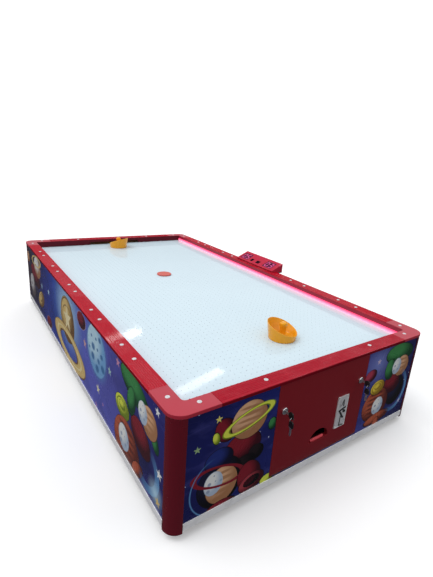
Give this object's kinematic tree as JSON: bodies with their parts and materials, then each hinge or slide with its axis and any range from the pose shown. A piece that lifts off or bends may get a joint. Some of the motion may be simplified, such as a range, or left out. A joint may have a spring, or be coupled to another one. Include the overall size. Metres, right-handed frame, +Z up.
{
  "type": "air hockey table",
  "caption": "Low air hockey table with a lit walled field, drop-down coin door, goal slots with puck chutes, a wedge scoreboard on one rail, two mallets and a puck.",
  "frame": {"origin": "on the floor below the middle of the whole object's box, scoreboard and keys included", "axes": "+Z up, +Y along the table from the coin door's end to the back end, +X towards the scoreboard's rail"},
  "size_m": [1.249, 2.2422, 0.481],
  "materials": {
    "rail_red": "satin red paint on an extruded rail with fine grooves",
    "cap_red": "smooth bright red moulding",
    "post_maroon": "dark red gloss corner moulding",
    "door_maroon": "board with a dark red satin laminate",
    "navy_laminate": "board with a printed space picture under gloss film",
    "wall_crimson": "crimson gloss bumper",
    "field_white": "board with a pale blue-white gloss laminate and fine air holes",
    "led_pink": "glowing pink light strip",
    "board_brown": "bare board",
    "trim_aluminium": "brushed angle",
    "steel": "brushed steel",
    "chrome": "polished chrome",
    "black_plastic": "black moulded plastic",
    "chute_red": "red moulded chute",
    "mallet_yellow": "yellow-orange moulded plastic",
    "puck_red": "salmon red plastic",
    "lens_magenta": "tinted magenta window",
    "circuit_green": "green circuit board"
  },
  "bodies": {
    "cabinet": {"air_plenum": "board_brown", "base_panel": "board_brown", "blower_housing": "black_plastic", "blower_motor": "steel", "bottom_trim_back": "trim_aluminium", "bottom_trim_front": "trim_aluminium", "bottom_trim_left": "trim_aluminium", "bottom_trim_right": "trim_aluminium", "cash_box": "steel", "corner_cap_back_left": "cap_red", "corner_cap_back_right": "cap_red", "corner_cap_front_left": "cap_red", "corner_cap_front_right": "cap_red", "corner_post_back_left": "post_maroon", "corner_post_back_right": "post_maroon", "corner_post_front_left": "post_maroon", "corner_post_front_right": "post_maroon", "door_frame": "board_brown", "door_hinge_rod": "steel", "end_panel_back": "navy_laminate", "end_panel_front": "navy_laminate", "inner_wall_back": "wall_crimson", "inner_wall_front": "wall_crimson", "inner_wall_left": "wall_crimson", "inner_wall_right": "wall_crimson", "led_strip_left": "led_pink", "led_strip_right": "led_pink", "playfield": "field_white", "power_inlet": "black_plastic", "puck_chute_back": "chute_red", "puck_chute_front": "chute_red", "rail_back": "rail_red", "rail_front": "rail_red", "rail_left": "rail_red", "rail_right": "rail_red", "score_board": "circuit_green", "score_lens": "lens_magenta", "scoreboard_housing": "rail_red", "side_panel_left": "navy_laminate", "side_panel_right": "navy_laminate"},
    "door": {"front_door": "door_maroon", "lock_barrel_left": "chrome", "lock_barrel_right": "chrome", "coin_plate": "steel", "coin_mech": "black_plastic"},
    "key_left": {"lock_key_left": "black_plastic"},
    "key_right": {"lock_key_right": "black_plastic"},
    "spare_left": {"spare_key_left": "steel"},
    "spare_right": {"spare_key_right": "steel"},
    "button": {"reject_button": "black_plastic"},
    "flap": {"return_flap": "chrome"},
    "impeller": {"blower_impeller": "black_plastic"},
    "switch": {"power_switch": "black_plastic"},
    "near_mallet": {"mallet_near": "mallet_yellow"},
    "far_mallet": {"mallet_far": "mallet_yellow"},
    "loose_puck": {"puck": "puck_red"},
    "foot_front_left_body": {"foot_front_left": "black_plastic"},
    "foot_front_right_body": {"foot_front_right": "black_plastic"},
    "foot_back_left_body": {"foot_back_left": "black_plastic"},
    "foot_back_right_body": {"foot_back_right": "black_plastic"}
  },
  "joints": [
    {"name": "door_drop", "type": "hinge", "parent": "cabinet", "child": "door", "pos_m": [-0.0245, -1.06775, 0.0715], "axis": [1, 0, 0], "range_deg": [0, 80]},
    {"name": "lock_left_turn", "type": "hinge", "parent": "door", "child": "key_left", "pos_m": [-0.2195, -1.07525, 0.319], "axis": [0, 1, 0], "range_deg": [-90, 0]},
    {"name": "lock_right_turn", "type": "hinge", "parent": "door", "child": "key_right", "pos_m": [0.1705, -1.07525, 0.319], "axis": [0, 1, 0], "range_deg": [0, 90]},
    {"name": "spare_left_swing", "type": "hinge", "parent": "key_left", "child": "spare_left", "pos_m": [-0.2195, -1.11075, 0.3145], "axis": [0, 1, 0], "range_deg": [-25, 25]},
    {"name": "spare_right_swing", "type": "hinge", "parent": "key_right", "child": "spare_right", "pos_m": [0.1705, -1.11075, 0.3145], "axis": [0, 1, 0], "range_deg": [-25, 25]},
    {"name": "reject_press", "type": "slide", "parent": "door", "child": "button", "axis": [0, 1, 0], "range_m": [0, 0.004], "stiffness_N_per_m": 120},
    {"name": "return_flap_swing", "type": "hinge", "parent": "door", "child": "flap", "pos_m": [0.0945, -1.07685, 0.175], "axis": [1, 0, 0], "range_deg": [0, 60]},
    {"name": "impeller_spin", "type": "hinge", "parent": "cabinet", "child": "impeller", "pos_m": [-0.0245, 0.27075, 0.253], "axis": [0, 0, 1], "continuous": true},
    {"name": "power_rocker", "type": "hinge", "parent": "cabinet", "child": "switch", "pos_m": [-0.4745, 1.11355, 0.152], "axis": [1, 0, 0], "range_deg": [-16, 0]},
    {"name": "near_mallet_slide", "type": "slide", "parent": "cabinet", "child": "near_mallet", "axis": [0, 1, 0], "range_m": [-0.16, 0.6]},
    {"name": "far_mallet_slide", "type": "slide", "parent": "cabinet", "child": "far_mallet", "axis": [0, 1, 0], "range_m": [-0.44, 0.04]},
    {"name": "puck_slide", "type": "slide", "parent": "cabinet", "child": "loose_puck", "axis": [0, 1, 0], "range_m": [-0.21, 0.16]},
    {"name": "foot_front_left_height", "type": "slide", "parent": "cabinet", "child": "foot_front_left_body", "axis": [0, 0, 1], "range_m": [-0.012, 0]},
    {"name": "foot_front_right_height", "type": "slide", "parent": "cabinet", "child": "foot_front_right_body", "axis": [0, 0, 1], "range_m": [-0.012, 0]},
    {"name": "foot_back_left_height", "type": "slide", "parent": "cabinet", "child": "foot_back_left_body", "axis": [0, 0, 1], "range_m": [-0.012, 0]},
    {"name": "foot_back_right_height", "type": "slide", "parent": "cabinet", "child": "foot_back_right_body", "axis": [0, 0, 1], "range_m": [-0.012, 0]}
  ]
}
